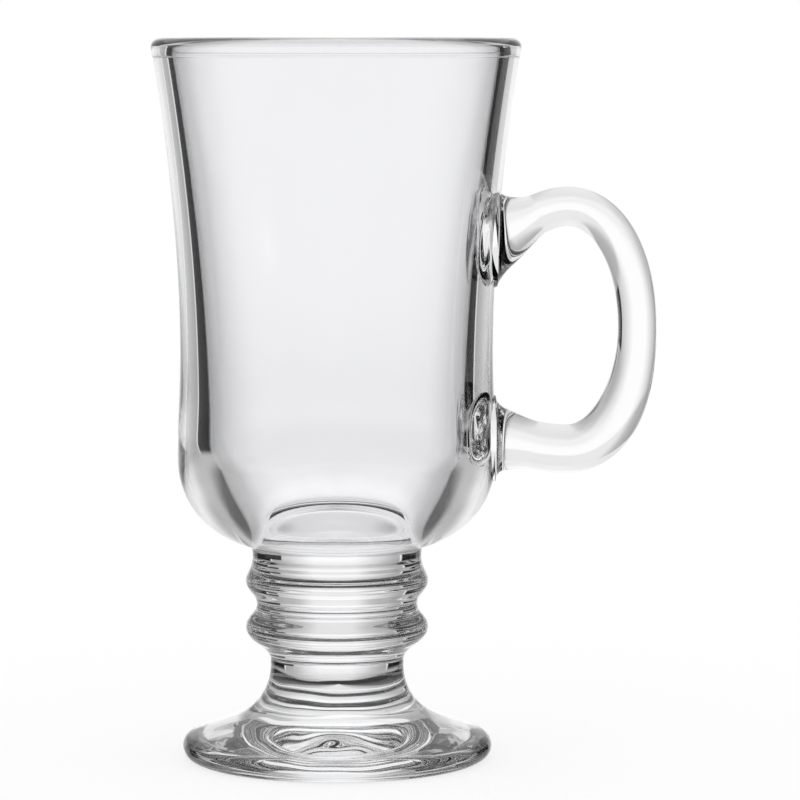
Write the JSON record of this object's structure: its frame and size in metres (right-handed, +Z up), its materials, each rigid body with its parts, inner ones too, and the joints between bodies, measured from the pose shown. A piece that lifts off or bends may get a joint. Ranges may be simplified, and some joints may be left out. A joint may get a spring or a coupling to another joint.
{
  "type": "footed glass mug",
  "caption": "Footed clear-glass mug with a flared thick-walled bowl, a looped side handle, a ring-beaded stem and a spread foot with a hollow underside.",
  "frame": {"origin": "middle of the mug's footprint, rim edge to handle edge, on the table that the foot stands on", "axes": "+Z up along the mug's turned axis, +X towards the handle, +Y across the handle's plane"},
  "size_m": [0.104, 0.076, 0.149],
  "materials": {
    "clear_glass": "fire-polished clear pressed glass"
  },
  "bodies": {
    "root": {"bowl": "clear_glass", "handle": "clear_glass", "stem": "clear_glass", "foot": "clear_glass"}
  },
  "joints": []
}
